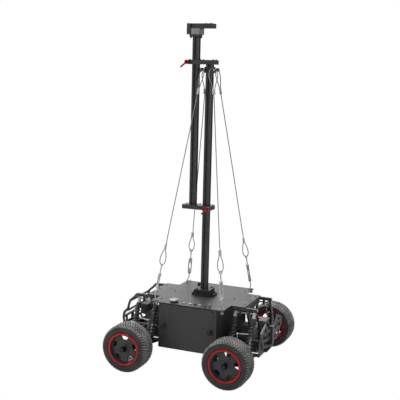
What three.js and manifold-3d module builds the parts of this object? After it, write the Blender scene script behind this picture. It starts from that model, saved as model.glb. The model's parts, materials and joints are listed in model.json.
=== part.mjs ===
// Four wheel robot chassis with a telescoping mast held by four guy wires.
// Millimetres, +Z up, +X to the front, +Y to the left. The ground is z = 0, and the origin is
// under the middle of the object's bounding box. Heights below are from a datum LIFT above the ground.
import * as THREE from 'three';
import { mergeVertices } from 'three/addons/utils/BufferGeometryUtils.js';
import Module from 'manifold-3d';

const wasm = await Module();
wasm.setup();

// Driving dimensions
const HALF_WHEELBASE = 195;
const LIFT = 6;
const BOX_CENTRE = 14; // the mast stands this far in front of the bounding box's middle
const GAP = 0.3; // between pieces that rest on each other

const TYRE_R = 88;
const AXLE_Z = TYRE_R - LIFT;
const TYRE_SIDES = 24;
const RIM_SIDES = 18;
const WHEEL_Y = 250.5;
const TYRE_HALF = 37.5;
const RIM_R = 62;
const BARREL_R = 54;
const AXLE_R = 5;
const AXLE_END = WHEEL_Y + TYRE_HALF + 8;
const DISC = [21, 26]; // the rim's disc, outboard of the wheel's middle

const BOX_HALF_X = 113;
const BOX_HALF_Y = 163.7;
const BOX_BOTTOM = 68;
const WALL = 2.5;
const DECK_TOP = 240;
const DECK = 3;
const DECK_X = 142;
const DECK_Y = 168;
const WING_X = 196;
const WING_Y = 89;
const HOOK_HOLE = new THREE.Vector2(134, 160);
const BUTTON = [-62, -141];
const BUTTON_R = 11;

const INNER_PIVOT_Y = 70;
const OUTER_PIVOT_Y = 180;
const LOWER_Z = 60;
const UPPER_Z = 112;
const KINGPIN_Y = 202;
const PIN_R = 3;
const PIN_HOLE_R = 3.5;
const SHOCK_X = 36;
const SHOCK_TOP = new THREE.Vector2(84, 217.5);
const SHOCK_FOOT = new THREE.Vector2(145, 72);

const TUBE = 25;
const TUBE_HOLE = 26;
const TUBE_CORNER = 3.5;
const LOWER_TUBE_TOP = 1104;
const SLIDER_Z = 569;
const BRACKET = 16;
const UPPER_TUBE_X = -55;
const UPPER_TUBE_TOP = 1233;
const SOCKET_BOTTOM = 1203;
const HEAD_TOP = 1250;
const COLLAR_Z = 1085;
const PEG_RADIUS = 29; // where a wire lies on its peg, from the mast's axis
const WIRE_R = 1.5;
const TURNBUCKLE = [34, 104]; // along the guy wire, from the corner hole

// Solids
function solidOf(shape) {
  if (!shape.isBufferGeometry) return shape;
  const bare = shape.clone();
  bare.deleteAttribute('normal');
  bare.deleteAttribute('uv');
  const merged = mergeVertices(bare, 1e-4);
  const points = new Float32Array(merged.attributes.position.array);
  const corners = [];
  for (let i = 0; i < merged.index.count; i += 3) {
    const [a, b, c] = [0, 1, 2].map((k) => merged.index.getX(i + k));
    if (a !== b && b !== c && a !== c) corners.push(a, b, c);
  }
  const at = (k) => new THREE.Vector3().fromArray(points, 3 * k);
  let volume = 0;
  for (let i = 0; i < corners.length; i += 3) {
    volume += at(corners[i]).cross(at(corners[i + 1])).dot(at(corners[i + 2]));
  }
  if (volume < 0) corners.reverse();
  const triVerts = new Uint32Array(corners);
  return new wasm.Manifold(new wasm.Mesh({ numProp: 3, vertProperties: points, triVerts }));
}

function join(...shapes) {
  return shapes.flat().map(solidOf).reduce((sum, next) => sum.add(next));
}

function cut(base, ...tools) {
  return tools.flat().map(solidOf).reduce((rest, tool) => rest.subtract(tool), solidOf(base));
}

function geometryOf(shape) {
  const mesh = solidOf(shape).getMesh();
  const geometry = new THREE.BufferGeometry();
  geometry.setAttribute('position', new THREE.BufferAttribute(mesh.vertProperties, 3));
  geometry.setIndex(new THREE.BufferAttribute(mesh.triVerts, 1));
  geometry.computeVertexNormals();
  return geometry;
}

// Basic shapes
function block(x0, x1, y0, y1, z0, z1) {
  const box = new THREE.BoxGeometry(x1 - x0, y1 - y0, z1 - z0);
  return box.translate((x0 + x1) / 2, (y0 + y1) / 2, (z0 + z1) / 2);
}

function rod(from, to, radius, sides = 8) {
  const [a, b] = [new THREE.Vector3(...from), new THREE.Vector3(...to)];
  const along = b.clone().sub(a);
  const shape = new THREE.CylinderGeometry(radius, radius, along.length(), sides);
  const turn = new THREE.Quaternion().setFromUnitVectors(new THREE.Vector3(0, 1, 0), along.normalize());
  return shape.applyQuaternion(turn).translate(...a.add(b).multiplyScalar(0.5).toArray());
}

function loop(points, clockwise) {
  const corners = points.map(([u, v]) => new THREE.Vector2(u, v));
  return THREE.ShapeUtils.isClockWise(corners) === clockwise ? corners : corners.reverse();
}

function outline(points, holes = []) {
  const shape = new THREE.Shape(loop(points, false));
  for (const hole of holes) shape.holes.push(new THREE.Path(loop(hole, true)));
  return shape;
}

function extrude(shape, depth) {
  return new THREE.ExtrudeGeometry(shape, { depth, bevelEnabled: false, curveSegments: 2 });
}

// An outline in (y, z), from x0 to x1
function prismX(shape, x0, x1) {
  const [y, z, x] = [new THREE.Vector3(0, 1, 0), new THREE.Vector3(0, 0, 1), new THREE.Vector3(1, 0, 0)];
  return extrude(shape, x1 - x0).applyMatrix4(new THREE.Matrix4().makeBasis(y, z, x)).translate(x0, 0, 0);
}

// An outline in (x, z), from y0 to y1
function prismY(shape, y0, y1) {
  return extrude(shape, y1 - y0).rotateX(Math.PI / 2).translate(0, y1, 0);
}

// An outline in (x, y), from z0 to z1
function prismZ(shape, z0, z1) {
  return extrude(shape, z1 - z0).translate(0, 0, z0);
}

const mirrored = (points) => points.map(([u, v]) => [-u, v]).reverse();
const bothSides = (make) => [make(-1), make(1)];

// Finishes
const finishes = {
  black_metal: new THREE.MeshStandardMaterial({ color: 0x2c2c2d, roughness: 0.5, metalness: 0.6 }),
  black_plastic: new THREE.MeshStandardMaterial({ color: 0x202021, roughness: 0.6, metalness: 0 }),
  grey_plastic: new THREE.MeshStandardMaterial({ color: 0x5a5b5d, roughness: 0.55, metalness: 0.1 }),
  tyre: new THREE.MeshStandardMaterial({ color: 0x2e2e2e, roughness: 0.9, metalness: 0 }),
  red: new THREE.MeshStandardMaterial({ color: 0xb02a30, roughness: 0.4, metalness: 0.3 }),
  steel: new THREE.MeshStandardMaterial({ color: 0xb8babd, roughness: 0.3, metalness: 1 }),
  green: new THREE.MeshStandardMaterial({ color: 0x3f8a68, roughness: 0.4, metalness: 0 }),
};

const chassis = new THREE.Group();
chassis.position.set(BOX_CENTRE, 0, LIFT);

function addPart(parent, name, shape, finish) {
  const mesh = new THREE.Mesh(geometryOf(shape), finishes[finish].clone());
  mesh.name = name;
  parent.add(mesh);
}

function addGroup(x, y, z, turn = 0) {
  const group = new THREE.Group();
  group.position.set(x, y, z);
  group.rotation.z = turn;
  chassis.add(group);
  return group;
}

// Deck: a sheet with a wide middle and a narrower wing at each end
function topPlate() {
  const chamfer = 6;
  const notch = [[DECK_X + chamfer, WING_Y], [DECK_X, WING_Y + chamfer]];
  const quarter = [[WING_X, WING_Y], ...notch, [DECK_X, DECK_Y]];
  const left = [...quarter, ...mirrored(quarter)];
  const right = left.map(([x, y]) => [-x, -y]);
  const sheet = prismZ(outline([...left, ...right]), DECK_TOP - DECK, DECK_TOP);
  const holes = bothSides((sx) => bothSides((sy) => {
    const [x, y] = [sx * HOOK_HOLE.x, sy * HOOK_HOLE.y];
    return rod([x, y, DECK_TOP - 9], [x, y, DECK_TOP + 9], 3.5);
  })).flat();
  return cut(sheet, holes, rod([...BUTTON, DECK_TOP - 9], [...BUTTON, DECK_TOP + 9], 7));
}

function buttonCap() {
  const cap = rod([...BUTTON, DECK_TOP + 6], [...BUTTON, DECK_TOP + 11], BUTTON_R, 16);
  return join(cap, rod([...BUTTON, DECK_TOP - 12], [...BUTTON, DECK_TOP + 6.5], 4));
}

// Box under the deck, open at its top, with a bent strip beside each side panel
function bodyBox() {
  const top = DECK_TOP - DECK - GAP;
  const outer = block(-BOX_HALF_X, BOX_HALF_X, -BOX_HALF_Y, BOX_HALF_Y, BOX_BOTTOM, top);
  const [ix, iy] = [BOX_HALF_X - WALL, BOX_HALF_Y - WALL];
  const tray = cut(outer, block(-ix, ix, -iy, iy, BOX_BOTTOM + WALL, top + 9));
  const strip = block(105.3, 116.5, -DECK_Y + 1, -BOX_HALF_Y + 1, BOX_BOTTOM, top);
  return join(tray, strip, strip.clone().rotateZ(Math.PI));
}

function sidePanel() {
  return block(-112, 104.7, -DECK_Y + 1, -BOX_HALF_Y - GAP, BOX_BOTTOM + 2, DECK_TOP - DECK - 2);
}

function driveMotor() {
  const floor = BOX_BOTTOM + WALL + GAP;
  const can = rod([-55, 70, 100], [55, 70, 100], 25, 12);
  return join(can, rod([50, 70, 100], [75, 70, 100], 12), block(-40, 40, 52, 88, floor, 90));
}

// Suspension, drawn about the axle's middle with +Y outboard and the axle at x = 0
function gearbox() {
  const side = [[30, 54], [44, 70], [44, 116], [26, 150], [-26, 150], [-44, 116], [-44, 70], [-30, 54]];
  const plate = [[78, 54], [78, 100], [66, 121], [-66, 121], [-78, 100], [-78, 54]];
  const pins = bothSides((s) => [LOWER_Z, UPPER_Z].map((z) => {
    const y = s * INNER_PIVOT_Y;
    return rod([-53, y, z], [53, y, z], PIN_R);
  })).flat();
  const head = block(30, 60, -26, 26, 138, 178);
  const beam = block(-HALF_WHEELBASE + BOX_HALF_X + GAP, -50, -35, 35, 72, 112);
  return join(prismX(outline(side), -34, 34), prismX(outline(plate), -56, -52.5),
    prismX(outline(plate), 52.5, 56), block(-54, 54, -20, 20, 66, 104), head, beam, pins);
}

function armPlate(half, outerHalf, z, thickness, clear) {
  const [y0, y1] = [INNER_PIVOT_Y + 4, OUTER_PIVOT_Y - 4];
  const frame = [[-half, y0], [-outerHalf, y1], [outerHalf, y1], [half, y0]];
  const window = [[-clear, y0 + 8], [-4, y1 - 52], [4, y1 - 52], [clear, y0 + 8]];
  const plate = prismZ(outline(frame, [window]), z - thickness / 2, z + thickness / 2);
  const knuckles = [rod([-50, INNER_PIVOT_Y, z], [50, INNER_PIVOT_Y, z], 6.5),
    rod([-12, OUTER_PIVOT_Y, z], [12, OUTER_PIVOT_Y, z], 6)];
  const bores = [rod([-60, INNER_PIVOT_Y, z], [60, INNER_PIVOT_Y, z], PIN_HOLE_R),
    rod([-30, OUTER_PIVOT_Y, z], [30, OUTER_PIVOT_Y, z], PIN_HOLE_R)];
  return { solid: join(plate, knuckles), bores };
}

function lowerArm() {
  const { solid, bores } = armPlate(46, 10.5, LOWER_Z, 8, 26);
  const { x: y, y: z } = SHOCK_FOOT;
  const ears = bothSides((s) => block(s * 17 - 3, s * 17 + 3, y - 9, y + 9, LOWER_Z, z + 9));
  return cut(join(solid, ears), bores, rod([-30, y, z], [30, y, z], 5.5));
}

function upperArm() {
  const { solid, bores } = armPlate(22, 9, UPPER_Z, 6, 11);
  return cut(solid, bores);
}

function carrier() {
  const ears = [LOWER_Z, UPPER_Z].flatMap((z) => bothSides((s) =>
    block(s * 15.3 - 2.7, s * 15.3 + 2.7, OUTER_PIVOT_Y - 7, 187, z - 7, z + 7)));
  const pins = [LOWER_Z, UPPER_Z].map((z) => rod([-16, OUTER_PIVOT_Y, z], [16, OUTER_PIVOT_Y, z], PIN_R));
  return join(block(-18, 18, 186.5, 190, 51, 121), ears, pins);
}

function stubAxle(from) {
  return rod([0, from, AXLE_Z], [0, AXLE_END, AXLE_Z], AXLE_R, 12);
}

function frontUpright() {
  const lugs = [[51, 59], [113, 121]].map(([z0, z1]) => block(-8, 8, 188, KINGPIN_Y + 7, z0, z1));
  return cut(join(carrier(), lugs), rod([0, KINGPIN_Y, 40], [0, KINGPIN_Y, 130], PIN_HOLE_R));
}

// The steering arm points to the front on the left (side 1) and on the right (side -1) alike
function knuckle(side) {
  const [near, far] = side > 0 ? [8, 34] : [-34, -8];
  const arm = block(near, far, KINGPIN_Y - 2, KINGPIN_Y + 4, 64, 70);
  const body = block(-9, 9, KINGPIN_Y - 6, KINGPIN_Y + 6, 60, 112);
  return join(body, arm, rod([0, KINGPIN_Y, 52], [0, KINGPIN_Y, 120], PIN_R), stubAxle(KINGPIN_Y));
}

function rearUpright() {
  const body = block(-12, 12, 188, KINGPIN_Y + 6, 60, 112);
  return join(carrier(), body, stubAxle(KINGPIN_Y));
}

// A shock pair hangs from its top pin. It is drawn upright with the pin at the origin, and its
// group leans it down and outboard to the lower arm.
const SHOCK_LENGTH = SHOCK_TOP.distanceTo(SHOCK_FOOT);
const SHOCK_LEAN = Math.atan2(SHOCK_FOOT.x - SHOCK_TOP.x, SHOCK_TOP.y - SHOCK_FOOT.y);

function shockPin(z) {
  return [rod([-43, 0, z], [43, 0, z], PIN_R), ...bothSides((s) =>
    rod([s * SHOCK_X - 6, 0, z], [s * SHOCK_X + 6, 0, z], 7))];
}

function shockBodies() {
  const barrels = bothSides((s) => {
    const x = s * SHOCK_X;
    return [rod([x, 0, -4], [x, 0, -82], 9, 10), rod([x, 0, -18], [x, 0, -23], 12, 10)];
  });
  const bores = bothSides((s) => rod([s * SHOCK_X, 0, -28], [s * SHOCK_X, 0, -90], PIN_HOLE_R));
  return cut(join(shockPin(0), ...barrels), bores);
}

function shockRods() {
  const rods = bothSides((s) => {
    const x = s * SHOCK_X;
    return [rod([x, 0, -55], [x, 0, -SHOCK_LENGTH], PIN_R), rod([x, 0, -132], [x, 0, -137], 12, 10)];
  });
  return join(shockPin(-SHOCK_LENGTH), ...rods);
}

// Wheel, turned about Y
function lathe(profile, sides) {
  const points = profile.map(([r, y]) => new THREE.Vector2(r, y));
  return new THREE.LatheGeometry([...points, points[0]], sides).rotateY(Math.PI / sides);
}

function tyre() {
  const crown = TYRE_R / Math.cos(Math.PI / TYRE_SIDES);
  const bead = TYRE_HALF - 5.5;
  const half = [[BARREL_R + 1, bead], [RIM_R + 1.2, bead], [72, TYRE_HALF], [crown, TYRE_HALF - 9]];
  return lathe([...half, ...half.map(([r, y]) => [r, -y]).reverse()], TYRE_SIDES);
}

function rim() {
  const [outer, lip, inner] = [TYRE_HALF, TYRE_HALF - 5, 50];
  const [back, face] = DISC;
  const body = lathe([[AXLE_R + 0.6, 0], [13, 0], [13, back], [inner, back], [inner, -outer], [RIM_R, -outer],
    [RIM_R, -lip], [BARREL_R, -lip], [BARREL_R, lip], [RIM_R, lip], [RIM_R, outer], [inner, outer],
    [inner, face], [13, face], [13, face + 5], [AXLE_R + 0.6, face + 5]], RIM_SIDES);
  const windows = [0, 1, 2, 3, 4].map((k) => {
    const middle = THREE.MathUtils.degToRad(72 * k);
    const half = THREE.MathUtils.degToRad(19);
    const shape = new THREE.Shape();
    shape.absarc(0, 0, inner - 1.5, middle - half, middle + half, false);
    shape.absarc(0, 0, 34, middle + half * 0.7, middle - half * 0.7, true);
    return prismY(shape, back - 9, face + 9);
  });
  return cut(body, windows);
}

// Rails under each wing of the deck, with the plate that carries the shock tops
function railFrame() {
  const top = DECK_TOP - DECK - GAP;
  const rails = bothSides((s) => block(-48, 46, s * 84 - 5, s * 84 + 5, 226, top));
  const tie = block(-4, 4, -84, 84, 228, top);
  const tower = prismX(outline([[-76, 229], [76, 229], [26, 150 + GAP], [-26, 150 + GAP]],
    [[[-50, 216], [-24, 170], [24, 170], [50, 216]]]), -3, 3);
  const lugs = bothSides((sx) => bothSides((sy) =>
    block(sx * 17 - 3, sx * 17 + 3, sy * SHOCK_TOP.x - 7, sy * SHOCK_TOP.x + 7, 208, 228))).flat();
  const bores = bothSides((s) => {
    const y = s * SHOCK_TOP.x;
    return rod([-30, y, SHOCK_TOP.y], [30, y, SHOCK_TOP.y], PIN_HOLE_R);
  });
  return cut(join(rails, tie, tower, lugs), bores);
}

function frontBumper() {
  const wing = [[4, 87], [50, 88], [98, 98], [124, 142], [122, 160], [70, 182], [58, 168], [40, 150],
    [4, 148]];
  const windows = [[[16, 94], [52, 96], [90, 106], [96, 119], [50, 112], [16, 112]],
    [[16, 122], [52, 123], [102, 131], [108, 146], [52, 140], [16, 138]],
    [[66, 154], [98, 158], [76, 170]]];
  const right = prismX(outline(mirrored(wing), windows.map(mirrored)), 72, 78);
  const left = prismX(outline(wing, windows), 72, 78);
  const column = block(67, 84, -8, 8, 86, 156);
  const sole = [[80, 90], [80, 76], [67, 58], [56.4, 58], [56.4, 64], [64, 65], [70, 78], [70, 90]];
  const skid = prismY(outline(sole), -20, 20);
  return join(left, right, column, skid, block(56 + GAP, 72, -18, 18, 88, 104));
}

function rearBumper() {
  const outer = [[46.4, 235], [51, 235], [62, 222], [79, 207], [86, 188], [89, 173], [105, 156], [109, 134],
    [105, 112], [92, 96]];
  const inner = [[86, 101], [98, 115], [102, 133], [98, 151], [82, 168], [79, 186], [73, 202], [57, 215],
    [46.4, 227]];
  const hoops = bothSides((s) => prismY(outline([...outer, ...inner]), s * 84 - 3, s * 84 + 3));
  const levels = [[77, 202], [89, 162], [105.5, 134], [101, 112]];
  const bars = levels.map(([x, z]) => block(x - 3, x + 3, -84, 84, z - 3, z + 3));
  const strut = [[104, 114], [98, 114], [59, 49], [65, 45]];
  const struts = bothSides((s) => prismY(outline(strut), s * 50 - 3, s * 50 + 3));
  const windows = bothSides((s) => block(99, 119, s * 26 - 18, s * 26 + 18, 108, 130));
  const panel = cut(block(107, 112, -54, 54, 101, 137), windows);
  const brace = block(56 + GAP, 117, -12, 12, 96, 106);
  const skid = prismY(outline([[66, 52], [60, 44], [18, 44], [18, 49], [56, 51.5], [62, 56]]), -54, 54);
  return join(hoops, bars, struts, panel, brace, skid);
}

// Mast: square profile with a slot down each face
function profileTube(z0, z1) {
  const [half, mouth, deep, wide] = [TUBE / 2, 3, 4, 4.5];
  const side = [[half - TUBE_CORNER, -half], [half, -half + TUBE_CORNER], [half, -mouth],
    [half - 1.5, -mouth], [half - deep, -wide + 2], [half - deep, wide - 2], [half - 1.5, mouth],
    [half, mouth]];
  const points = [0, 1, 2, 3].flatMap((k) => side.map(([x, y]) => {
    const p = new THREE.Vector2(x, y).rotateAround(new THREE.Vector2(), k * Math.PI / 2);
    return [p.x, p.y];
  }));
  return prismZ(outline(points), z0, z1);
}

function squareHole(x, size, z0, z1) {
  return block(x - size / 2, x + size / 2, -size / 2, size / 2, z0, z1);
}

function mastBase() {
  const [z0, z1] = [DECK_TOP + GAP, DECK_TOP + 25];
  const feet = bothSides((s) => block(s * 36 - 8, s * 36 + 8, -20, 20, z0, z0 + 9));
  return cut(join(block(-31, 31, -27, 27, z0, z1), feet), squareHole(0, TUBE_HOLE, z0 - 5, z1 + 5));
}

function guyCollar() {
  const half = 15.5;
  const ring = cut(block(-half, half, -half, half, COLLAR_Z - 11, COLLAR_Z + 11),
    squareHole(0, TUBE_HOLE, COLLAR_Z - 20, COLLAR_Z + 20));
  const pegs = bothSides((sx) => bothSides((sy) => {
    const at = (radius) => [sx * radius * Math.SQRT1_2, sy * radius * Math.SQRT1_2, COLLAR_Z];
    return [rod(at(19.5), at(PEG_RADIUS + 4), 4.5), rod(at(PEG_RADIUS + 3.5), at(PEG_RADIUS + 7), 7.5, 10)];
  })).flat(2);
  return join(ring, pegs);
}

function mastBracket(z, holes) {
  const tools = holes.map((x) => squareHole(x, TUBE_HOLE, z - 5, z + BRACKET + 5));
  return cut(block(-90, 25, -23, 23, z, z + BRACKET), tools);
}

function headMount() {
  const plateBottom = UPPER_TUBE_TOP + GAP;
  const socket = join(block(-80, -36, -22, 22, SOCKET_BOTTOM + 8, plateBottom + 1),
    block(-84, -70, -26, 26, SOCKET_BOTTOM + 8, HEAD_TOP),
    block(-76, -40, -18, 18, SOCKET_BOTTOM, SOCKET_BOTTOM + 9));
  const hole = squareHole(UPPER_TUBE_X, TUBE_HOLE, SOCKET_BOTTOM - 5, plateBottom);
  return join(cut(socket, hole), block(-84, 13, -20, 20, plateBottom, HEAD_TOP));
}

// Clamp lever on the -Y face of a mast bracket, its handle pointing down and back
function clampLever(x, z) {
  const hub = [rod([x, -36, z], [x, -23.3, z], 5), rod([x, -38, z], [x, -28, z], 8, 10)];
  return join(hub, rod([x, -33, z], [x - 22, -36, z - 20], 3));
}

// Guy wires and their turnbuckles. Each lies on a line from the deck's corner hole to its peg, and is
// drawn upright with the corner hole at the origin.
function guyLine(sx, sy) {
  const low = new THREE.Vector3(sx * HOOK_HOLE.x, sy * HOOK_HOLE.y, DECK_TOP);
  const side = PEG_RADIUS * Math.SQRT1_2;
  const along = new THREE.Vector3(sx * side, sy * side, COLLAR_Z - 8).sub(low);
  const group = addGroup(low.x, low.y, low.z);
  group.quaternion.setFromUnitVectors(new THREE.Vector3(0, 0, 1), along.clone().normalize());
  return { group, length: along.length() };
}

function turnbuckle() {
  const [low, high] = TURNBUCKLE;
  const boss = 8;
  const bars = bothSides((s) => rod([5 * s, 0, low + 4], [5 * s, 0, high - 4], 1.8, 6));
  return join(bars, [low, high - boss].map((z) => rod([0, 0, z], [0, 0, z + boss], 6.5)));
}

// Assembly
addPart(chassis, 'top_plate', topPlate(), 'black_metal');
addPart(chassis, 'body_box', bodyBox(), 'black_metal');
addPart(chassis, 'side_panel_right', sidePanel(), 'black_metal');
addPart(addGroup(0, 0, 0, Math.PI), 'side_panel_left', sidePanel(), 'black_metal');
addPart(chassis, 'battery_pack', block(-70, 70, -140, -30, BOX_BOTTOM + WALL + GAP, 128), 'black_plastic');
addPart(chassis, 'drive_motor', driveMotor(), 'steel');
addPart(chassis, 'button_cap', buttonCap(), 'green');

addPart(chassis, 'mast_base', mastBase(), 'black_metal');
addPart(chassis, 'lower_tube', profileTube(DECK_TOP + GAP, LOWER_TUBE_TOP), 'black_metal');
addPart(chassis, 'guy_collar', guyCollar(), 'black_metal');
addPart(chassis, 'upper_bracket', mastBracket(LOWER_TUBE_TOP + GAP, [UPPER_TUBE_X]), 'black_metal');
addPart(chassis, 'sliding_bracket', mastBracket(SLIDER_Z, [UPPER_TUBE_X, 0]), 'black_metal');
addPart(addGroup(UPPER_TUBE_X, 0, 0), 'upper_tube', profileTube(SLIDER_Z, UPPER_TUBE_TOP), 'black_metal');
addPart(chassis, 'head_mount', headMount(), 'black_metal');
addPart(chassis, 'clamp_lever_upper', clampLever(-79, LOWER_TUBE_TOP + 8.5), 'red');
addPart(chassis, 'clamp_lever_lower', clampLever(18, SLIDER_Z + 8), 'red');

for (const [end, side, turn] of [['front', 1, 0], ['rear', -1, Math.PI]]) {
  const group = addGroup(side * HALF_WHEELBASE, 0, 0, turn);
  addPart(group, `gearbox_${end}`, gearbox(), 'grey_plastic');
  addPart(group, `rail_frame_${end}`, railFrame(), 'black_metal');
  addPart(group, `bumper_${end}`, end === 'front' ? frontBumper() : rearBumper(), 'black_plastic');
}

// Corners: front or rear, then left or right. The turn of each rim is as it stands at rest.
const corners = [['fl', 1, 1, 44], ['fr', 1, -1, 44], ['rl', -1, 1, 52], ['rr', -1, -1, 52]];
for (const [name, sx, sy, rimTurn] of corners) {
  const corner = addGroup(sx * HALF_WHEELBASE, 0, 0, sy > 0 ? 0 : Math.PI);
  addPart(corner, `lower_arm_${name}`, lowerArm(), 'black_plastic');
  addPart(corner, `upper_arm_${name}`, upperArm(), 'black_plastic');
  const shocks = new THREE.Group();
  shocks.position.set(0, SHOCK_TOP.x, SHOCK_TOP.y);
  shocks.rotation.x = SHOCK_LEAN;
  corner.add(shocks);
  addPart(shocks, `shock_bodies_${name}`, shockBodies(), 'black_metal');
  addPart(shocks, `shock_rods_${name}`, shockRods(), 'steel');
  addPart(corner, `upright_${name}`, sx > 0 ? frontUpright() : rearUpright(), 'black_plastic');
  if (sx > 0) addPart(corner, `knuckle_${name}`, knuckle(sy), 'black_plastic');
  const wheel = new THREE.Group();
  wheel.position.set(0, WHEEL_Y, AXLE_Z);
  corner.add(wheel);
  addPart(wheel, `tyre_${name}`, tyre(), 'tyre');
  addPart(wheel, `rim_${name}`, rim(), 'black_plastic');
  wheel.children.at(-1).rotation.y = THREE.MathUtils.degToRad(rimTurn);

  const { group, length } = guyLine(sx, sy);
  addPart(group, `turnbuckle_${name}`, turnbuckle(), 'steel');
  addPart(group, `guy_wire_${name}`, rod([0, 0, TURNBUCKLE[1] + 0.5], [0, 0, length], WIRE_R), 'steel');
}

export default chassis;
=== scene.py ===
import json
import math

import bmesh
import bpy
from mathutils import Matrix, Vector


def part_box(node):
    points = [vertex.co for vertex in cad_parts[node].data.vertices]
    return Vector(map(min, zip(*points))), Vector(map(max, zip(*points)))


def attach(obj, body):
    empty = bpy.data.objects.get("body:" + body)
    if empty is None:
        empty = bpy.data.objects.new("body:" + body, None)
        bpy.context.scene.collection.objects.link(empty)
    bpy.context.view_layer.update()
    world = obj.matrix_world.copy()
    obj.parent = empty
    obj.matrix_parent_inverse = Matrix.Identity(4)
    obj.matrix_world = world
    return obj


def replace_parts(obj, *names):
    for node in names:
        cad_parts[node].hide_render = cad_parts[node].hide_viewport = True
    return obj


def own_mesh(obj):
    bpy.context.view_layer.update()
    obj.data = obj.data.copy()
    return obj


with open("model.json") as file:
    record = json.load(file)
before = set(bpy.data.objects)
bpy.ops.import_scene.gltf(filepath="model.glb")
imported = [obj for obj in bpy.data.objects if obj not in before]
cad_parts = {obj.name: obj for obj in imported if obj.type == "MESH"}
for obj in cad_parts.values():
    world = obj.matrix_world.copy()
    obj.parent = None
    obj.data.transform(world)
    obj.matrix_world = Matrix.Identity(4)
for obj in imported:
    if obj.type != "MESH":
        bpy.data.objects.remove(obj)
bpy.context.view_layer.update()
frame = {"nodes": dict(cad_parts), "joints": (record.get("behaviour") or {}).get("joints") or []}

MM = 0.001
JOINTS = {j["name"]: j for j in frame["joints"]}
CORNERS = ("fl", "fr", "rl", "rr")


# ---------------------------------------------------------------- places, from the frame
def middle(node):
    low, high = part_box(node)
    return (low + high) / 2


def pivot(joint):
    return Vector(JOINTS[joint]["pos_m"])


MAST = middle("lower_tube")
DECK_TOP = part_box("top_plate")[1].z
TYRE_R = (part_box("tyre_fl")[1].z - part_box("tyre_fl")[0].z) / 2
TYRE_HALF = (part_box("tyre_fl")[1].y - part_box("tyre_fl")[0].y) / 2


def side_of(corner):
    return 1 if corner[1] == "l" else -1


def end_of(corner):
    return 1 if corner[0] == "f" else -1


# ---------------------------------------------------------------- helpers
def add_node(tree, kind, **sockets):
    """A shader node with its sockets set; an underscore stands for a space in a socket's name."""
    node = tree.nodes.new(kind)
    for name, value in sockets.items():
        node.inputs[name.replace("_", " ")].default_value = value
    return node


def mm(*pairs):
    """Pairs of millimetres as pairs of metres."""
    return [(a * MM, b * MM) for a, b in pairs]


# ---------------------------------------------------------------- camera, light and floor
CAMERA_TURN = (0.390, 0.158, 0.024)  # yaw, pitch and roll, in radians
CAMERA_PLACE = (MAST.x + 1.1135, -2.774, 1.0865)
CAMERA_LENS = 72.9
BRIGHT_WAY = (-0.6, 0.79, 0.1)
FLOOR_SIZE = 60
LAMP_TARGET = Vector((0, 0, 0.5))
SOFTBOXES = (
    {"place": (-0.5, 0.5, 3.4), "width": 2.4, "height": 2.4, "power": 125},
    {"place": (-2.4, -2.4, 1.4), "width": 1.0, "height": 1.8, "power": 22},
    {"place": (2.9, -1.3, 1.3), "width": 0.3, "height": 1.8, "power": 9},
)


def make_camera():
    """Turned to the left by the yaw, down by the pitch, and about its own axis by the roll."""
    yaw, pitch, roll = CAMERA_TURN
    forward = Vector((-math.sin(yaw) * math.cos(pitch), math.cos(yaw) * math.cos(pitch), -math.sin(pitch)))
    level = Vector((math.cos(yaw), math.sin(yaw), 0))
    upward = level.cross(forward)
    right = math.cos(roll) * level + math.sin(roll) * upward
    top = math.cos(roll) * upward - math.sin(roll) * level
    data = bpy.data.cameras.new("camera")
    data.lens, data.sensor_width = CAMERA_LENS, 36
    data.clip_start, data.clip_end = 0.1, 50
    camera = bpy.data.objects.new("camera", data)
    camera.matrix_world = Matrix((right, top, -forward)).transposed().to_4x4()
    camera.location = Vector(CAMERA_PLACE)
    bpy.context.scene.collection.objects.link(camera)
    bpy.context.scene.camera = camera


def make_world():
    """White for the eye, but bright only from above and behind, as in a product studio."""
    world = bpy.data.worlds.new("studio")
    world.use_nodes = True
    tree = world.node_tree
    sky = tree.nodes["Background"]
    place = add_node(tree, "ShaderNodeTexCoord")
    back = add_node(tree, "ShaderNodeVectorMath")
    back.operation = "DOT_PRODUCT"
    back.inputs[1].default_value = BRIGHT_WAY
    glow = add_node(tree, "ShaderNodeMapRange", From_Min=0.5, From_Max=0.93, To_Min=0.12, To_Max=1.4)
    glow.interpolation_type = "SMOOTHSTEP"
    seen = add_node(tree, "ShaderNodeLightPath")
    pick = add_node(tree, "ShaderNodeMix", B=1.0)
    link = tree.links.new
    link(place.outputs["Generated"], back.inputs[0])
    link(back.outputs["Value"], glow.inputs["Value"])
    link(glow.outputs["Result"], pick.inputs["A"])
    link(seen.outputs["Is Camera Ray"], pick.inputs["Factor"])
    link(pick.outputs["Result"], sky.inputs["Strength"])
    sky.inputs["Color"].default_value = (1, 1, 1, 1)
    bpy.context.scene.world = world
    bpy.context.scene.view_settings.view_transform = "Standard"


def make_floor():
    """White for the camera, mid grey for the light that it sends up to the object."""
    bpy.ops.mesh.primitive_plane_add(size=FLOOR_SIZE, location=(0, 0, -0.5 * MM))
    floor = bpy.context.object
    floor.name = "floor"
    material = bpy.data.materials.new("floor")
    material.use_nodes = True
    tree = material.node_tree
    matt = tree.nodes["Principled BSDF"]
    matt.inputs["Base Color"].default_value = (0.5, 0.5, 0.5, 1)
    matt.inputs["Roughness"].default_value = 0.9
    seen = add_node(tree, "ShaderNodeLightPath")
    white = add_node(tree, "ShaderNodeEmission")
    either = add_node(tree, "ShaderNodeMixShader")
    link = tree.links.new
    link(seen.outputs["Is Camera Ray"], either.inputs[0])
    link(matt.outputs["BSDF"], either.inputs[1])
    link(white.outputs["Emission"], either.inputs[2])
    link(either.outputs["Shader"], tree.nodes["Material Output"].inputs["Surface"])
    floor.data.materials.append(material)


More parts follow.
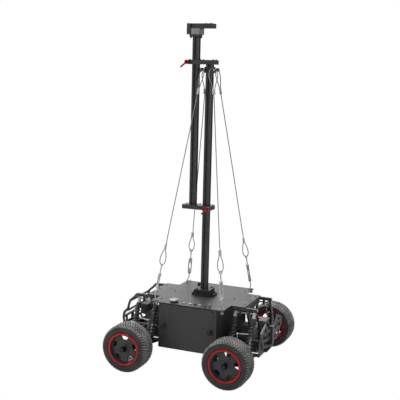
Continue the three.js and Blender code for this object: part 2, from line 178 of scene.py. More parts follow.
def make_softboxes():
    for box in SOFTBOXES:
        data = bpy.data.lights.new("softbox", "AREA")
        data.shape, data.energy = "RECTANGLE", box["power"]
        data.size, data.size_y = box["width"], box["height"]
        lamp = bpy.data.objects.new("softbox", data)
        lamp.location = box["place"]
        lamp.rotation_euler = (LAMP_TARGET - Vector(box["place"])).to_track_quat("-Z", "Y").to_euler()
        bpy.context.scene.collection.objects.link(lamp)


# ---------------------------------------------------------------- materials
def make_material(name, color, rough, metal=0.0, grain=900.0, bump=0.15, depth=0.0002, spread=0.25,
                  rough_spread=0.08, stretch=(1, 1, 1), worn=0.0, worn_color=(0.3, 0.3, 0.3)):
    """A finish with grain in its bump, slow variation of colour and roughness, and wear on its edges."""
    material = bpy.data.materials.new(name)
    material.use_nodes = True
    tree = material.node_tree
    shader = tree.nodes["Principled BSDF"]
    shader.inputs["Metallic"].default_value = metal
    link = tree.links.new
    place = add_node(tree, "ShaderNodeTexCoord")
    scale = add_node(tree, "ShaderNodeMapping", Scale=stretch)
    link(place.outputs["Object"], scale.inputs["Vector"])
    fine = add_node(tree, "ShaderNodeTexNoise", Scale=grain, Detail=4.0, Roughness=0.6)
    slow = add_node(tree, "ShaderNodeTexNoise", Scale=28.0, Detail=5.0, Roughness=0.65)
    link(scale.outputs["Vector"], fine.inputs["Vector"])
    link(place.outputs["Object"], slow.inputs["Vector"])
    tint = add_node(tree, "ShaderNodeValToRGB")
    low, high = (tuple(c * (1 + s * spread) for c in color) + (1,) for s in (-1, 1))
    tint.color_ramp.elements[0].position, tint.color_ramp.elements[0].color = 0.35, low
    tint.color_ramp.elements[1].position, tint.color_ramp.elements[1].color = 0.65, high
    link(slow.outputs["Fac"], tint.inputs["Fac"])
    shade = tint.outputs["Color"]
    if worn:
        geometry = add_node(tree, "ShaderNodeNewGeometry")
        edge = add_node(tree, "ShaderNodeMapRange", From_Min=0.52, From_Max=0.62, To_Min=0.0, To_Max=worn)
        link(geometry.outputs["Pointiness"], edge.inputs["Value"])
        mix = add_node(tree, "ShaderNodeMix")
        mix.data_type = "RGBA"
        link(edge.outputs["Result"], mix.inputs["Factor"])
        link(shade, mix.inputs["A"])
        mix.inputs["B"].default_value = (*worn_color, 1)
        shade = mix.outputs["Result"]
    link(shade, shader.inputs["Base Color"])
    gloss = add_node(tree, "ShaderNodeMapRange", From_Min=0.3, From_Max=0.7,
                     To_Min=max(0.02, rough - rough_spread), To_Max=min(1.0, rough + rough_spread))
    link(slow.outputs["Fac"], gloss.inputs["Value"])
    link(gloss.outputs["Result"], shader.inputs["Roughness"])
    relief = add_node(tree, "ShaderNodeBump", Strength=bump, Distance=depth)
    link(fine.outputs["Fac"], relief.inputs["Height"])
    link(relief.outputs["Normal"], shader.inputs["Normal"])
    return material


def make_wire_material():
    """Stranded steel: diagonal bands wound round the wire."""
    material = make_material("wire_strands", (0.42, 0.395, 0.34), 0.7, grain=1500, bump=0.1)
    tree = material.node_tree
    place = add_node(tree, "ShaderNodeTexCoord")
    bands = add_node(tree, "ShaderNodeTexWave", Scale=420.0, Distortion=0.6)
    bands.bands_direction = "DIAGONAL"
    tree.links.new(place.outputs["Object"], bands.inputs["Vector"])
    relief = next(n for n in tree.nodes if n.type == "BUMP")
    tree.links.new(bands.outputs["Fac"], relief.inputs["Height"])
    relief.inputs["Strength"].default_value = 0.5
    tree.nodes["Principled BSDF"].inputs["Specular IOR Level"].default_value = 0.2
    return material


PAINT = {
    "deck": make_material("powder_coat", (0.028, 0.028, 0.029), 0.42, grain=1400, bump=0.25, depth=0.0003,
                          worn=0.35, worn_color=(0.16, 0.16, 0.16)),
    "mast": make_material("black_anodised", (0.082, 0.082, 0.084), 0.34, metal=0.25, grain=700,
                          stretch=(1, 1, 0.02), bump=0.08, spread=0.12, rough_spread=0.03),
    "plastic": make_material("moulded_nylon", (0.02, 0.02, 0.021), 0.5, grain=800, bump=0.3,
                             worn=0.3, worn_color=(0.12, 0.12, 0.12)),
    "bumper": make_material("bumper_nylon", (0.04, 0.04, 0.042), 0.46, grain=700, bump=0.3,
                            worn=0.5, worn_color=(0.22, 0.22, 0.22)),
    "grey": make_material("grey_nylon", (0.13, 0.13, 0.135), 0.5, grain=800, bump=0.3,
                          worn=0.3, worn_color=(0.3, 0.3, 0.3)),
    # The tread is the same rubber as the carcass but coloured about four times lighter: painted light from
    # above on the tread, partly dust.
    "tread": make_material("tread_rubber_painted_top_light", (0.3, 0.3, 0.296), 0.7, grain=500, bump=0.5, depth=0.0005,
                           spread=0.6, worn=0.4, worn_color=(0.2, 0.2, 0.195)),
    "light": make_material("light_grey_cast", (0.4, 0.4, 0.405), 0.5, metal=0.1, grain=700, bump=0.3,
                           worn=0.3, worn_color=(0.5, 0.5, 0.5)),
    "rubber": make_material("tyre_rubber", (0.07, 0.069, 0.068), 0.78, grain=600, bump=0.35, depth=0.0004,
                            spread=0.35, worn=0.5, worn_color=(0.12, 0.12, 0.115)),
    "rim": make_material("rim_nylon", (0.068, 0.068, 0.07), 0.5, grain=900, bump=0.25,
                         worn=0.25, worn_color=(0.14, 0.14, 0.14)),
    "red": make_material("red_anodised", (0.58, 0.022, 0.026), 0.36, metal=0.25, grain=900, bump=0.1,
                         spread=0.15),
    "steel": make_material("bright_steel", (0.42, 0.42, 0.42), 0.3, metal=1.0, grain=1200, bump=0.12),
    "screw": make_material("blackened_steel", (0.03, 0.03, 0.032), 0.32, metal=0.8, grain=1500, bump=0.1),
    "spring": make_material("spring_wire", (0.16, 0.16, 0.165), 0.3, metal=0.35, grain=1500, bump=0.1),
    "ferrule": make_material("pressed_aluminium", (0.78, 0.78, 0.77), 0.38, metal=0.2, grain=900, bump=0.25),
    "green": make_material("button_green", (0.07, 0.26, 0.17), 0.3, grain=400, bump=0.05, spread=0.12),
    "brass": make_material("contact_brass", (0.5, 0.36, 0.13), 0.3, metal=1.0, grain=900, bump=0.1),
    "wire": make_wire_material(),
}


# ---------------------------------------------------------------- mesh building
def mesh_of(name, form):
    """The bmesh as a mesh with its faces pointing out."""
    bmesh.ops.recalc_face_normals(form, faces=form.faces)
    mesh = bpy.data.meshes.new(name)
    form.to_mesh(mesh)
    form.free()
    return mesh


def from_mesh(name, mesh, paint, body, angle=35):
    """A finished piece: painted, smooth up to the given edge angle, and riding on its body."""
    obj = bpy.data.objects.new(name, mesh)
    bpy.context.scene.collection.objects.link(obj)
    mesh.materials.clear()
    mesh.materials.append(PAINT[paint])
    for face in mesh.polygons:
        face.use_smooth = True
    mesh.set_sharp_from_angle(angle=math.radians(angle))
    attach(obj, body)
    return obj


def from_bmesh(name, form, paint, body):
    return from_mesh(name, mesh_of(name, form), paint, body)


def aimed(origin, direction):
    """The matrix that puts local +Z along direction at origin."""
    turn = Vector(direction).normalized().to_track_quat("Z", "Y").to_matrix().to_4x4()
    return Matrix.Translation(origin) @ turn


def standing(x, y, z):
    """The matrix that puts local +Z upright at a place."""
    return Matrix.Translation((x, y, z))


def turned(angle):
    """The matrix that turns about local Z."""
    return Matrix.Rotation(angle, 4, "Z")


def add_lathe(form, profile, matrix, sides=32):
    """A profile of (radius, height) turned about local Z; the ends on the axis close it."""
    rings = []
    for radius, height in profile:
        if radius < 1e-6:
            rings.append([form.verts.new(matrix @ Vector((0, 0, height)))])
            continue
        around = [math.tau * k / sides for k in range(sides)]
        places = [Vector((radius * math.cos(a), radius * math.sin(a), height)) for a in around]
        rings.append([form.verts.new(matrix @ place) for place in places])
    for one, two in zip(rings, rings[1:]):
        for k in range(sides):
            n = (k + 1) % sides
            corners = [one[k % len(one)], one[n % len(one)], two[n % len(two)], two[k % len(two)]]
            corners = list(dict.fromkeys(corners))
            if len(corners) > 2:
                form.faces.new(corners)


def add_ring(form, profile, matrix, sides=48):
    """A closed profile of (radius, height) turned about local Z."""
    add_lathe(form, list(profile) + [profile[0]], matrix, sides)


def add_box(form, low, high, matrix=Matrix.Identity(4), bevel=0.0):
    """A box between two corners, with its edges rounded by the bevel."""
    made = bmesh.ops.create_cube(form, size=1.0)["verts"]
    for vert in made:
        vert.co = matrix @ Vector([l + (c + 0.5) * (h - l) for c, l, h in zip(vert.co, low, high)])
    if bevel:
        edges = list({e for v in made for e in v.link_edges})
        bmesh.ops.bevel(form, geom=edges, offset=bevel, segments=2, profile=0.6, affect="EDGES")


def add_tube(form, points, radius, sides=10, closed=False):
    """A round bar along points, its section carried along without twist."""
    points = [Vector(p) for p in points]
    count = len(points)
    rings, side = [], None
    for i, point in enumerate(points):
        before = points[i - 1] if i or closed else point
        after = points[(i + 1) % count] if i < count - 1 or closed else point
        along = (after - before).normalized()
        if side is None:
            side = along.orthogonal().normalized()
        side = (side - along * side.dot(along)).normalized()
        other = along.cross(side)
        rings.append([form.verts.new(point + radius * (math.cos(a) * side + math.sin(a) * other))
                      for a in (math.tau * k / sides for k in range(sides))])
    pairs = list(zip(rings, rings[1:])) + ([(rings[-1], rings[0])] if closed else [])
    for one, two in pairs:
        for k in range(sides):
            form.faces.new((one[k], one[(k + 1) % sides], two[(k + 1) % sides], two[k]))
    if not closed:
        form.faces.new(rings[0])
        form.faces.new(rings[-1])


def smooth_path(points, steps=8):
    """Catmull-Rom points through the given ones."""
    points = [Vector(p) for p in points]
    padded = [2 * points[0] - points[1], *points, 2 * points[-1] - points[-2]]
    path = []
    for a, b, c, d in zip(padded, padded[1:], padded[2:], padded[3:]):
        for k in range(steps):
            t = k / steps
            path.append(0.5 * ((2 * b) + (c - a) * t + (2 * a - 5 * b + 4 * c - d) * t * t
                               + (3 * b - a - 3 * c + d) * t ** 3))
    return path + [points[-1]]


def add_screw(form, matrix, radius=2.6 * MM, height=2.6 * MM):
    """A socket head screw standing on local z = 0."""
    r, h = radius, height
    profile = [(0, 0), (r, 0), (r, h * 0.8), (r * 0.85, h), (r * 0.55, h), (r * 0.5, h * 0.4), (0, h * 0.4)]
    add_lathe(form, profile, matrix, 14)


def flat_shape(name, loops, thickness, bevel=0.0):
    """A flat plate in local XY, filled between loops, as a mesh with rounded rims."""
    curve = bpy.data.curves.new(name, "CURVE")
    curve.dimensions, curve.fill_mode = "2D", "BOTH"
    curve.extrude, curve.bevel_depth, curve.bevel_resolution = thickness / 2 - bevel, bevel, 2
    for loop in loops:
        spline = curve.splines.new("POLY")
        spline.points.add(len(loop) - 1)
        for point, (x, y) in zip(spline.points, loop):
            point.co = (x, y, 0, 1)
        spline.use_cyclic_u = True
    holder = bpy.data.objects.new(name + "_outline", curve)
    bpy.context.scene.collection.objects.link(holder)
    bpy.context.view_layer.update()
    solid = holder.evaluated_get(bpy.context.evaluated_depsgraph_get())
    mesh = bpy.data.meshes.new_from_object(solid)
    bpy.data.objects.remove(holder)
    return mesh


def arc(radius, start, end, count):
    angles = [start + (end - start) * k / (count - 1) for k in range(count)]
    return [(radius * math.cos(a), radius * math.sin(a)) for a in angles]


def circle(radius, count):
    return arc(radius, 0, math.tau * (1 - 1 / count), count)


# ---------------------------------------------------------------- CAD nodes that stay
CAD_PAINT = {
    "top_plate": "deck", "body_box": "deck", "side_panel": "deck",
    "battery": "plastic", "mast_base": "plastic", "gearbox_rear": "plastic", "lower_arm": "plastic",
    "upper_arm": "plastic", "upright": "plastic", "knuckle": "plastic",
    "lower_tube": "mast", "upper_tube": "mast", "guy_collar": "mast", "upper_bracket": "mast",
    "sliding_bracket": "mast", "head_mount": "mast", "rail_frame": "mast", "shock_bodies": "mast",
    "drive_motor": "steel", "shock_rods": "steel", "turnbuckle": "steel", "guy_wire": "wire",
    "gearbox": "grey", "bumper": "bumper", "clamp_lever": "red", "button_cap": "green",
    "tyre": "rubber", "rim": "rim",
}
CAD_EDGE_MM = {
    "top_plate": 0.5, "body_box": 0.8, "side_panel": 0.5, "lower_tube": 0.7, "upper_tube": 0.7,
    "lower_arm": 1.2, "upper_arm": 1.2, "bumper": 1.2, "gearbox": 1.6, "rail_frame": 1.0,
    "upper_bracket": 1.0, "sliding_bracket": 1.0, "head_mount": 1.0, "mast_base": 1.0,
}
USUAL_EDGE_MM = 0.6
SHARP_ANGLE = math.radians(32)


def dress_cad():
    """Each CAD node gets its paint, by the start of its name, and rounded edges."""
    for name, obj in frame["nodes"].items():
        paint = next(p for start, p in CAD_PAINT.items() if name.startswith(start))
        obj.data.materials.clear()
        obj.data.materials.append(PAINT[paint])
        width = next((w for start, w in CAD_EDGE_MM.items() if name.startswith(start)), USUAL_EDGE_MM)
        bevel = obj.modifiers.new("edges", "BEVEL")
        bevel.width, bevel.segments, bevel.limit_method = width * MM, 2, "ANGLE"
        bevel.angle_limit = SHARP_ANGLE
        bevel.harden_normals = False


# ---------------------------------------------------------------- wheels
TREAD_BLOCKS = 54
TREAD_DEPTH = 3.6 * MM
TREAD_ROWS = ((-30.5, 5.4), (-20, 4.2), (-10, 4.0), (0, 4.0), (10, 4.0), (20, 4.2), (30.5, 5.4))
TREAD_LEAN = 0.22
SPOKES = 5
RING_SCREWS = 10
REST_TURN = {"f": math.radians(8), "r": math.radians(16)}


def tyre_meshes():
    """The carcass with moulded sidewall steps, and rows of staggered zigzag tread blocks."""
    w, base = TYRE_HALF, TYRE_R - TREAD_DEPTH
    sidewall = [(55 * MM, w - 6 * MM), (62.6 * MM, w - 5.5 * MM), (63.4 * MM, w - 2.5 * MM),
                (66.0 * MM, w - 0.6 * MM), (68.5 * MM, w - 0.3 * MM), (69.2 * MM, w - 1.4 * MM),
                (75 * MM, w - 1.0 * MM), (78.6 * MM, w - 1.7 * MM), (79.2 * MM, w - 0.9 * MM),
                (80.6 * MM, w - 1.1 * MM), (81.4 * MM, w - 3.0 * MM), (base, w - 8 * MM),
                (base + 0.8 * MM, w - 16 * MM), (base + 1.0 * MM, 0)]
    other_side = [(radius, -height) for radius, height in sidewall[-2::-1]]
    form = bmesh.new()
    add_ring(form, sidewall + other_side, Matrix.Identity(4), 108)
    carcass = mesh_of("tyre", form)
    form = bmesh.new()
    pitch = math.tau / TREAD_BLOCKS
    for row, (centre, half_width) in enumerate(TREAD_ROWS):
        odd = row % 2
        shoulder = abs(centre) > 25
        half_angle = pitch * (0.3 if shoulder else 0.33)
        low = base - (2.5 * MM if shoulder else 0)
        high = TYRE_R - 0.9 * MM if shoulder else TYRE_R
        lean = (TREAD_LEAN if odd else -TREAD_LEAN) * pitch
        for k in range(TREAD_BLOCKS):
            angle = pitch * (k + 0.5 * odd)
            add_tread_block(form, angle, half_angle, centre * MM, half_width * MM, low, high, lean, shoulder)
    return carcass, mesh_of("tread", form)


def add_tread_block(form, angle, half_angle, centre, half_width, low, high, lean, shoulder):
    """One block, a zigzag of three sections across the tyre, narrower at its top."""
    sections = []
    for k, across in enumerate((-1, 0, 1)):
        turn = angle + (lean if k == 1 else -lean * 0.5)
        drop = 4.2 * MM if shoulder and across * centre > 0 else 0.0
        ring = []
        for radius, share, inset in ((low - drop, 1.0, 1.0), (high - drop, 0.84, 0.92)):
            z = centre + across * half_width * inset
            for sign in (-1, 1):
                a = turn + sign * half_angle * share
                ring.append(form.verts.new((radius * math.cos(a), radius * math.sin(a), z)))
        sections.append([ring[0], ring[1], ring[3], ring[2]])
    for one, two in zip(sections, sections[1:]):
        for k in range(4):
            form.faces.new((one[k], one[(k + 1) % 4], two[(k + 1) % 4], two[k]))
    form.faces.new(sections[0])
    form.faces.new(sections[-1])


def window_loop(middle_angle):
    """The opening between two spokes, wider at the rim than at the hub."""
    half = math.radians(19)
    outer = arc(49.5 * MM, middle_angle - half, middle_angle + half, 9)
    inner = arc(33.0 * MM, middle_angle + half * 0.62, middle_angle - half * 0.62, 5)
    return rounded(outer + inner, 2.0 * MM)


def rounded(loop, radius):
    """The loop with each sharp corner cut by a short curve."""
    made = []
    count = len(loop)
    for k in range(count):
        a, b, c = (Vector(loop[(k + s) % count]) for s in (-1, 0, 1))
        one, two = a - b, c - b
        if one.length < 1e-6 or two.length < 1e-6 or one.angle(two) > math.radians(150):
            made.append(tuple(b))
            continue
        start = b + one.normalized() * min(radius, one.length / 2)
        end = b + two.normalized() * min(radius, two.length / 2)
        for t in (0, 0.25, 0.5, 0.75, 1):
            made.append(tuple((1 - t) ** 2 * start + 2 * t * (1 - t) * b + t * t * end))
    return made


def rim_mesh():
    """About local Z with +Z outboard: barrel, hub, webs behind the spokes, and the disc with its windows."""
    edge = TYRE_HALF / MM
    form = bmesh.new()
    barrel = mm((52.2, -edge + 0.5), (54.5, -edge + 5), (54.5, edge - 5), (52.2, edge - 0.5),
                (51.6, edge - 6), (51.0, 27.5), (51.0, 19.5), (50.6, 17), (50.6, -edge + 6))
    add_ring(form, barrel, Matrix.Identity(4), 72)
    hub = mm((5.6, -2), (12, -2), (13, 0), (13, 20), (17, 22), (17, 27.2), (14.5, 29), (12.2, 29),
             (11.6, 26.5), (5.6, 26.5))
    add_ring(form, hub, Matrix.Identity(4), 40)
    step = 360 / SPOKES
    for k in range(SPOKES):
        web = turned(math.radians(step * k + step / 2))
        add_box(form, (13 * MM, -1.5 * MM, 12 * MM), (51 * MM, 1.5 * MM, 22 * MM), web, 0.4 * MM)
    loops = [circle(51.4 * MM, 90), circle(12.5 * MM, 40)]
    loops += [window_loop(math.radians(step * k)) for k in range(SPOKES)]
    disc = flat_shape("disc", loops, 5 * MM, 0.9 * MM)
    disc.transform(standing(0, 0, 23.5 * MM))
    form.from_mesh(disc)
    return mesh_of("rim_body", form)


def ring_meshes():
    """The red beadlock ring, its outer face at z = 0, and the ring's screws."""
    ring = bmesh.new()
    section = mm((52.6, -4.2), (60.8, -4.2), (61.6, -3.4), (61.6, -1.2), (60.8, -0.2), (59.6, 0), (54.4, 0),
                 (53.0, -0.9), (52.3, -2.2))
    add_ring(ring, section, Matrix.Identity(4), 96)
    screws = bmesh.new()
    for k in range(RING_SCREWS):
        a = math.radians(360 / RING_SCREWS * k + 12)
        place = standing(57 * MM * math.cos(a), 57 * MM * math.sin(a), -0.9 * MM)
        add_screw(screws, place, 1.7 * MM, 1.6 * MM)
    return mesh_of("beadlock_ring", ring), mesh_of("ring_screws", screws)


def nut_mesh():
    """Round wheel nut with a flanged foot, flats and a deep centre hole."""
    form = bmesh.new()
    profile = mm((0, 26.5), (11, 26.5), (11, 28.5), (8.6, 29.5), (8.3, 44.5), (7.2, 46), (4.4, 46), (3.8, 44),
                 (3.8, 34), (0, 34))
    add_lathe(form, profile, Matrix.Identity(4), 32)
    for k in range(6):
        flat = turned(math.radians(60 * k))
        add_box(form, (7.6 * MM, -2.4 * MM, 28 * MM), (9.1 * MM, 2.4 * MM, 40 * MM), flat, 0.3 * MM)
    return mesh_of("wheel_nut", form)


def make_wheels():
    """Every wheel from the same meshes, turned so that local +Z points outboard."""
    tyre, tread = tyre_meshes()
    rim = rim_mesh()
    ring, screws = ring_meshes()
    nut = nut_mesh()
    flip = Matrix.Rotation(math.pi, 4, "X")
    edge = standing(0, 0, TYRE_HALF - 0.2 * MM)
    forward = Vector((1, 0, 0))
    for corner in CORNERS:
        side = side_of(corner)
        outward = Vector((0, side, 0))
        axes = Matrix((forward, outward.cross(forward), outward)).transposed().to_4x4()
        spin = turned(-side * REST_TURN[corner[0]])
        place = Matrix.Translation(pivot(f"wheel_spin_{corner}")) @ axes @ spin
        parts = [
            ("tyre_carcass", tyre, place, "rubber", 40),
            # The tread blocks take the lighter tread paint: painted light from above on the tread, partly
            # dust.
            ("tyre_tread", tread, place, "tread", 40),
            ("rim_body", rim, place, "rim", 35),
            ("ring_outer", ring, place @ edge, "red", 35),
            ("ring_inner", ring, place @ flip @ edge, "red", 35),
            ("screws_outer", screws, place @ edge, "screw", 35),
            ("screws_inner", screws, place @ flip @ edge, "screw", 35),
            ("wheel_nut", nut, place, "screw", 35),
        ]
        made = {}
        for name, mesh, matrix, paint, angle in parts:
            copy = mesh.copy()
            copy.transform(matrix)
            made[name] = from_mesh(f"{name}_{corner}", copy, paint, f"wheel_{corner}", angle)
        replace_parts(made["tyre_carcass"], f"tyre_{corner}")
        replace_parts(made["rim_body"], f"rim_{corner}")


# ---------------------------------------------------------------- suspension
SHOCK_X = 36 * MM
SHOCK_LENGTH = 157.8 * MM
SHOCK_BOLT_HALF = 44 * MM
SPRING = {"start": 34.8 * MM, "end": 130.2 * MM, "radius": 11.0 * MM, "turns": 8}
SCREW_REACH = 56.2 * MM
HINGE_RISE = 52 * MM


def helix(start, end, radius, turns, steps=20):
    count = int(turns * steps)
    points = []
    for k in range(count + 1):
        a = math.tau * turns * k / count
        points.append(Vector((radius * math.cos(a), radius * math.sin(a), start + (end - start) * k / count)))
    return points


def make_shocks(corner):
    """Two coil-over shocks: barrels, rods, caps, feet and springs, drawn down from their shared top bolt."""
    top = pivot(f"shock_tilt_{corner}")
    up = Vector(JOINTS[f"shock_travel_{corner}"]["axis"]).normalized()
    forward = Vector((1, 0, 0))
    axes = Matrix((forward, (-up).cross(forward), -up)).transposed().to_4x4()
    barrel = mm((0, 17), (7.5, 17), (9.4, 18.5), (9.4, 22), (8.8, 22.6), (8.8, 24), (9.4, 24.6), (9.4, 28),
                (12.6, 29), (12.6, 33), (7.6, 34), (7.4, 78), (7.0, 81), (4, 82), (3.4, 81), (3.4, 60),
                (0, 60))
    cap = mm((0, -6.5), (4, -6), (6.4, -3), (6.8, 0), (6.4, 3), (5, 6.5), (6.6, 8), (7, 9.5), (7, 17.4),
             (0, 17.4))
    seat = mm((0, 131), (4, 131), (11.4, 132), (12.4, 133.2), (12.4, 136), (9, 138), (5.5, 141), (5, 147),
              (0, 148))
    eye = mm((0, -6), (6.6, -6), (7.2, -5.2), (7.2, 5.2), (6.6, 6), (0, 6))
    barrels, rods, caps, feet = bmesh.new(), bmesh.new(), bmesh.new(), bmesh.new()
    for sign, letter in ((-1, "a"), (1, "b")):
        origin = top + Vector((sign * SHOCK_X, 0, 0))
        down = Matrix.Translation(origin) @ axes
        add_lathe(barrels, barrel, down, 28)
        for k in range(12):
            knurl = down @ turned(math.tau * k / 12)
            add_box(barrels, (12.2 * MM, -0.8 * MM, 29.4 * MM), (13.1 * MM, 0.8 * MM, 32.6 * MM), knurl)
        add_lathe(caps, cap, down, 20)
        add_lathe(feet, seat, down, 28)
        add_lathe(feet, eye, aimed(origin - up * SHOCK_LENGTH, forward), 24)
        add_lathe(rods, mm((0, 56), (3, 56), (3, 131.5), (0, 131.5)), down, 16)
        coil = bmesh.new()
        add_tube(coil, [down @ p for p in helix(**SPRING)], 1.7 * MM, 8)
        spring = from_bmesh(f"spring_{corner}_{letter}", coil, "spring", f"shock_bodies_{corner}")
        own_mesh(spring)
    bodies = from_bmesh(f"shock_barrels_{corner}", barrels, "mast", f"shock_bodies_{corner}")
    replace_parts(bodies, f"shock_bodies_{corner}")
    add_tube(caps, [top + Vector((x, 0, 0)) for x in (-SHOCK_BOLT_HALF, SHOCK_BOLT_HALF)], 3 * MM, 14)
    from_bmesh(f"shock_tops_{corner}", caps, "ferrule", f"shock_bodies_{corner}")
    low = top - up * SHOCK_LENGTH
    add_tube(rods, [low + Vector((x, 0, 0)) for x in (-SHOCK_BOLT_HALF, SHOCK_BOLT_HALF)], 3 * MM, 14)
    shafts = from_bmesh(f"shock_shafts_{corner}", rods, "steel", f"shock_rods_{corner}")
    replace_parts(shafts, f"shock_rods_{corner}")
    from_bmesh(f"shock_feet_{corner}", feet, "plastic", f"shock_rods_{corner}")


def make_half_shaft(corner):
    """Joint cups at both ends of a thin shaft, from the gearbox to the upright."""
    inner, outer = pivot(f"suspension_{corner}"), pivot(f"upright_{corner}")
    side = side_of(corner)
    start = Vector((inner.x, inner.y - side * 12 * MM, pivot(f"wheel_spin_{corner}").z))
    span = (abs(outer.y - inner.y) + 14 * MM) / MM
    profile = mm((0, 0), (9, 0), (9.5, 2), (9.5, 16), (8, 19), (4, 22), (3.6, 26), (3.6, span - 28),
                 (4.2, span - 24), (7, span - 20), (7.6, span - 14), (6.6, span - 10), (7.6, span - 7),
                 (8.4, span - 2), (0, span))
    form = bmesh.new()
    add_lathe(form, profile, aimed(start, (0, side, 0)), 24)
    from_bmesh(f"half_shaft_{corner}", form, "steel", f"lower_arm_{corner}")


def make_sway_bar(corner):
    """Bent bright rod beside each shock pair, and the link from it to the lower arm."""
    side, end = side_of(corner), end_of(corner)
    axle = pivot(f"suspension_{corner}").x

    def at(x, y, z):
        return Vector((axle + end * x * MM, side * y * MM, z * MM))

    bends = ((44, 60, 192), (44, 78, 190), (43, 92, 182), (42, 96, 168), (40, 99, 156), (33, 101, 152),
             (10, 106, 152), (-16, 112, 152))
    rod = bmesh.new()
    add_tube(rod, smooth_path([at(*bend) for bend in bends], 6), 1.9 * MM, 12)
    from_bmesh(f"sway_bar_{corner}", rod, "ferrule", "chassis")
    link = bmesh.new()
    low, high = at(-16, 118, 72), at(-16, 115, 152)
    add_tube(link, [low, low.lerp(high, 0.5), high], 1.7 * MM, 10)
    ball = mm((0, -4), (3, -3.6), (4.4, -1.6), (4.4, 1.6), (3, 3.6), (0, 4))
    for point in (low, high):
        add_lathe(link, ball, aimed(point, (0, 1, 0)), 18)
    from_bmesh(f"sway_link_{corner}", link, "ferrule", f"lower_arm_{corner}")


def make_axle_details(corner):
    """Screws at the ends of the two hinge pins, and ribs on the lower arm."""
    side = side_of(corner)
    inner, outer = pivot(f"suspension_{corner}"), pivot(f"upright_{corner}")
    screws = bmesh.new()
    for sign in (-1, 1):
        for rise in (0, HINGE_RISE):
            seat = inner + Vector((sign * SCREW_REACH, 0, rise))
            add_screw(screws, aimed(seat, (sign, 0, 0)), 4 * MM, 3 * MM)
    from_bmesh(f"hinge_screws_{corner}", screws, "steel", "chassis")
    ribs = bmesh.new()
    z = inner.z + 4 * MM
    for sign in (-1, 1):
        start = Vector((inner.x + sign * 37 * MM, inner.y + side * 8 * MM, z))
        stop = Vector((inner.x + sign * 12 * MM, outer.y - side * 14 * MM, z))
        add_tube(ribs, [start, stop], 2 * MM, 8)
    for k in range(3):
        y = inner.y + side * (12 + 10 * k) * MM
        half = (30 - 3 * k) * MM
        add_tube(ribs, [Vector((inner.x - half, y, z)), Vector((inner.x + half, y, z))], 1.4 * MM, 8)
    from_bmesh(f"arm_ribs_{corner}", ribs, "plastic", f"lower_arm_{corner}")


# ---------------------------------------------------------------- guy wires
WIRE_R = 1.7 * MM
PEG_REACH = 29 * MM
DECK_HOLE_DOWN = 69 * MM
LOW_LOOP_WAY = Vector((0.925, 0.38, 0))
# Millimetres down from the peg, and half the loop's width there
TOP_LOOP = ((-6.2, 0), (-4.2, 7), (6, 13.5), (20, 16.5), (36, 13.5), (54, 7.5), (70, 3.2), (80, 1.55))
# Millimetres up from the deck hole, and half the loop's width there
LOW_LOOP = ((204, 1.55), (192, 3), (178, 7.2), (162, 10), (149, 9.6), (140, 6), (135, 0))
FERRULE_TOP = TOP_LOOP[-1][0] * MM
FERRULE_LOW = LOW_LOOP[0][0] * MM
RUN_SHARES = (0.14, 0.3, 0.5, 0.7, 0.92)


def guy_ends(corner):
    """The deck hole under the turnbuckle, and the point on the collar's peg."""
    joint = JOINTS[f"turnbuckle_turn_{corner}"]
    hole = Vector(joint["pos_m"]) - Vector(joint["axis"]).normalized() * DECK_HOLE_DOWN
    outward = Vector((end_of(corner), side_of(corner), 0)).normalized()
    return hole, middle("guy_collar") + outward * PEG_REACH


def make_guy(corner):
    """The wire from the peg's loop to the loop in the turnbuckle's eye, each loop closed by a ferrule."""
    low, peg = guy_ends(corner)
    up = (peg - low).normalized()
    length = (peg - low).length
    across = Vector((0, 0, 1)).cross(up).normalized()
    swung = (LOW_LOOP_WAY - up * LOW_LOOP_WAY.dot(up)).normalized()

    def at(distance, offset=0.0, way=across):
        return low + up * distance + way * offset * MM

    def strands(sign):
        top = [at(length - down * MM, sign * offset) for down, offset in TOP_LOOP]
        foot = [at(distance * MM, sign * offset, swung) for distance, offset in LOW_LOOP]
        return top, foot

    top, foot = strands(1)
    run = [at(length + (FERRULE_LOW - length) * t, 0.4 * (1 - 2 * abs(t - 0.5))) for t in RUN_SHARES]
    route = smooth_path(top + run + foot, 6)
    curve = bpy.data.curves.new(f"guy_cable_{corner}", "CURVE")
    curve.dimensions, curve.bevel_depth, curve.bevel_resolution, curve.use_fill_caps = "3D", WIRE_R, 2, True
    spline = curve.splines.new("POLY")
    spline.points.add(len(route) - 1)
    for point, place in zip(spline.points, route):
        point.co = (*place, 1)
    curve.materials.append(PAINT["wire"])
    cable = bpy.data.objects.new(f"guy_cable_{corner}", curve)
    bpy.context.scene.collection.objects.link(cable)
    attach(cable, "chassis")
    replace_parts(cable, f"guy_wire_{corner}")
    back_top, back_foot = strands(-1)
    loops = bmesh.new()
    add_tube(loops, smooth_path(back_top, 6), WIRE_R, 10)
    add_tube(loops, smooth_path(back_foot, 6), WIRE_R, 10)
    returns = from_bmesh(f"guy_loops_{corner}", loops, "wire", "chassis")
    sleeve = mm((0, -10), (4.2, -9.8), (4.8, -9), (4.6, -3), (4.1, 0), (4.6, 3), (4.8, 9), (4.2, 9.8),
                (0, 10))
    sleeves = bmesh.new()
    for distance in (length - FERRULE_TOP, FERRULE_LOW):
        pressed = aimed(at(distance), up) @ Matrix.Diagonal((1.25, 0.8, 1, 1))
        add_lathe(sleeves, sleeve, pressed, 20)
    ferrules = from_bmesh(f"guy_ferrules_{corner}", sleeves, "ferrule", "chassis")
    make_turnbuckle(corner, low, across)
    make_corner_screws(corner, low)


